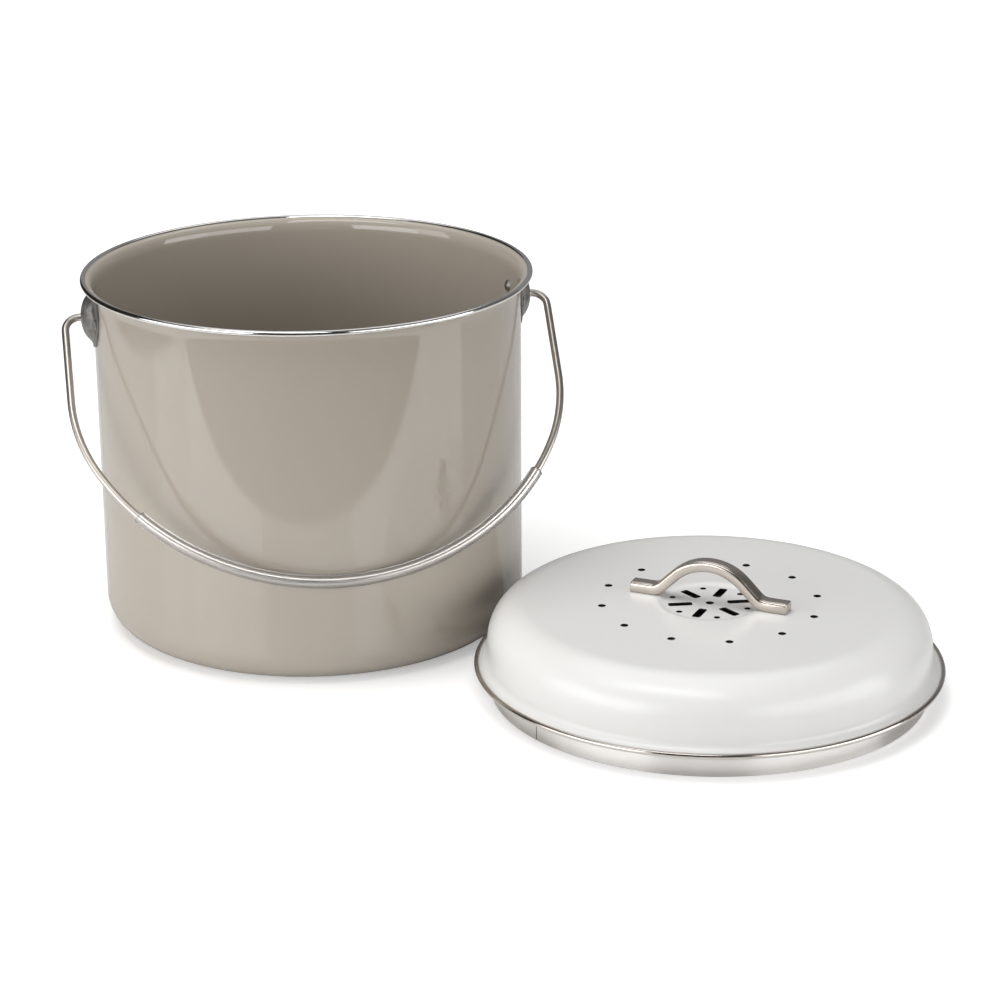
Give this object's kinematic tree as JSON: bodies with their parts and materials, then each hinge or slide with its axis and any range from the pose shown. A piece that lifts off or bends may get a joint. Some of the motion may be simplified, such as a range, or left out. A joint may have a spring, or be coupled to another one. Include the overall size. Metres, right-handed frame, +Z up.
{
  "type": "compost caddy",
  "caption": "Round coated-steel compost pail with a swinging wire bail in a clear grip sleeve, and its vented lift-off domed lid with a strap handle lying beside it.",
  "frame": {"origin": "the middle of the pail's flat base, on the surface that the pail and the lying lid both rest on", "axes": "+Z up; +X from the left ear to the right ear, along the bail's pivot axis; +Y to the back of the pail, away from the hanging bail"},
  "size_m": [0.4368, 0.3917, 0.1924],
  "materials": {
    "taupe_enamel": "gloss warm taupe coating, inside and out",
    "polished_rim": "polished stainless steel",
    "zinc_plate": "dull zinc-grey pressed steel",
    "rivet_steel": "satin",
    "bail_wire_steel": "bright drawn stainless wire",
    "clear_sleeve": "clear soft vinyl tube",
    "white_enamel": "satin-gloss off-white coating",
    "skirt_steel": "brushed round the skirt, bare stainless steel",
    "handle_steel": "brushed along the strap, warm grey",
    "fastener_steel": "bright plated",
    "charcoal_felt": "black activated-charcoal felt",
    "clip_steel": "satin spring steel"
  },
  "bodies": {
    "pail": {"pail_shell": "taupe_enamel", "pail_rim": "polished_rim", "ear_left": "zinc_plate", "ear_right": "zinc_plate", "rivets_left": "rivet_steel", "rivets_right": "rivet_steel"},
    "bail": {"bail_wire": "bail_wire_steel", "bail_grip": "clear_sleeve"},
    "lid": {"lid_shell": "white_enamel", "lid_rim": "polished_rim", "lid_skirt": "skirt_steel", "lid_handle": "handle_steel", "handle_screws": "fastener_steel", "handle_washers": "fastener_steel", "charcoal_filter": "charcoal_felt", "filter_clip_1": "clip_steel", "filter_clip_2": "clip_steel", "filter_clip_3": "clip_steel", "filter_clip_4": "clip_steel"}
  },
  "joints": [
    {"name": "bail_swing", "type": "hinge", "parent": "pail", "child": "bail", "pos_m": [0, 0, 0.1725], "axis": [-1, 0, 0], "range_deg": [0, 268.1]},
    {"name": "lid_lift", "type": "slide", "parent": "pail", "child": "lid", "axis": [0.3875, -0.316, 0.866], "range_m": [0, 0.25]}
  ]
}
